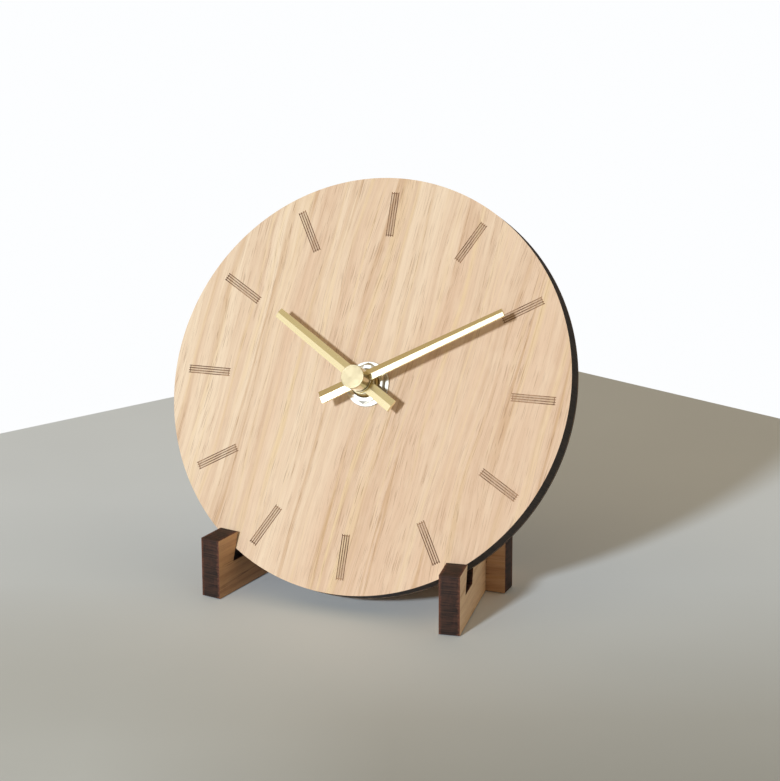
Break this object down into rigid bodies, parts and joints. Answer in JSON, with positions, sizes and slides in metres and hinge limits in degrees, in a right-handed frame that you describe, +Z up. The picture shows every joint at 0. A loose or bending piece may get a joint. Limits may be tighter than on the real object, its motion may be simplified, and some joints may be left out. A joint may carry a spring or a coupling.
{
  "type": "desk clock",
  "caption": "Round wooden desk clock: a tilted oak dial with engraved hour marks and faceted brass hands stands in a slotted three-board stand; quartz movement behind.",
  "frame": {"origin": "middle of the cross board's underside, on the surface that the clock stands on", "axes": "+Z up, +X to the right seen from the front, -Y towards the viewer"},
  "size_m": [0.12, 0.0657, 0.1119],
  "materials": {
    "oak_face": "fine light oak, unvarnished, engraved marks",
    "oak_edge": "oak boards with heat-darkened cut edges",
    "plywood": "board with a charred cut edge",
    "hand_brass": "polished, faceted",
    "bush_brass": "turned",
    "nickel": "nickel plated",
    "steel": "plain",
    "spring_steel": "nickel plated strip",
    "copper": "enamelled copper wire",
    "black_rubber": "matt",
    "case_plastic": "fine texture, black",
    "plate_plastic": "natural",
    "gear_plastic": "natural acetal",
    "knob_plastic": "black, fluted",
    "battery_can": "plain wrapped steel can",
    "board_green": "lacquered laminate",
    "chip_black": "moulded"
  },
  "bodies": {
    "stand": {"foot_left": "oak_edge", "foot_right": "oak_edge", "cross_board": "oak_edge"},
    "clock": {"dial_core": "plywood", "veneer_front": "oak_face", "veneer_back": "oak_face", "threaded_bush": "bush_brass", "rubber_gasket": "black_rubber", "washer": "nickel", "hex_nut": "nickel", "case_front": "case_plastic", "rear_cover": "case_plastic", "train_plate": "plate_plastic", "plate_screws": "steel", "contact_plus": "spring_steel", "contact_minus": "spring_steel", "circuit_board": "board_green", "quartz_crystal": "steel", "clock_chip": "chip_black", "coil_bobbin": "plate_plastic", "coil_winding": "copper", "stator": "spring_steel"},
    "battery_cell": {"battery": "battery_can"},
    "minute_train": {"minute_arbor": "hand_brass", "minute_hand": "hand_brass", "minute_cap": "hand_brass"},
    "hour_train": {"hour_wheel": "gear_plastic", "hour_collet": "hand_brass", "hour_hand": "hand_brass"},
    "intermediate": {"intermediate_wheel": "gear_plastic"},
    "setting": {"setting_knob": "knob_plastic"},
    "centre": {"centre_wheel": "gear_plastic"},
    "third": {"third_wheel": "gear_plastic"},
    "rotor_body": {"rotor": "gear_plastic"}
  },
  "joints": [
    {"name": "clock_lift", "type": "slide", "parent": "stand", "child": "clock", "axis": [0, 0.454, 0.891], "range_m": [0, 0.03]},
    {"name": "minute_turn", "type": "hinge", "parent": "clock", "child": "minute_train", "pos_m": [-0.001, -0.00619, 0.0584], "axis": [0, -0.891, 0.454], "continuous": true},
    {"name": "hour_turn", "type": "hinge", "parent": "clock", "child": "hour_train", "pos_m": [-0.001, -0.00619, 0.0584], "axis": [0, -0.891, 0.454], "continuous": true},
    {"name": "intermediate_turn", "type": "hinge", "parent": "clock", "child": "intermediate", "pos_m": [-0.01059, -0.00634, 0.0581], "axis": [0, -0.891, 0.454], "continuous": true},
    {"name": "setting_turn", "type": "hinge", "parent": "clock", "child": "setting", "pos_m": [-0.01419, -0.0023, 0.06603], "axis": [0, -0.891, 0.454], "continuous": true},
    {"name": "rotor_turn", "type": "hinge", "parent": "clock", "child": "rotor_body", "pos_m": [0.00847, 0.00093, 0.07236], "axis": [0, -0.891, 0.454], "continuous": true},
    {"name": "third_turn", "type": "hinge", "parent": "clock", "child": "third", "pos_m": [0.00732, -0.00278, 0.06508], "axis": [0, -0.891, 0.454], "continuous": true},
    {"name": "centre_turn", "type": "hinge", "parent": "clock", "child": "centre", "pos_m": [-0.001, -0.00619, 0.0584], "axis": [0, -0.891, 0.454], "continuous": true},
    {"name": "battery_out", "type": "slide", "parent": "clock", "child": "battery_cell", "axis": [0, 0.891, -0.454], "range_m": [0, 0.03]}
  ],
  "couplings": [
    {"joint": "hour_turn", "follows": "minute_turn", "ratio": 0.083333},
    {"joint": "intermediate_turn", "follows": "minute_turn", "ratio": -0.33333},
    {"joint": "setting_turn", "follows": "minute_turn", "ratio": 1},
    {"joint": "rotor_turn", "follows": "third_turn", "ratio": -10},
    {"joint": "centre_turn", "follows": "third_turn", "ratio": -0.11111}
  ]
}
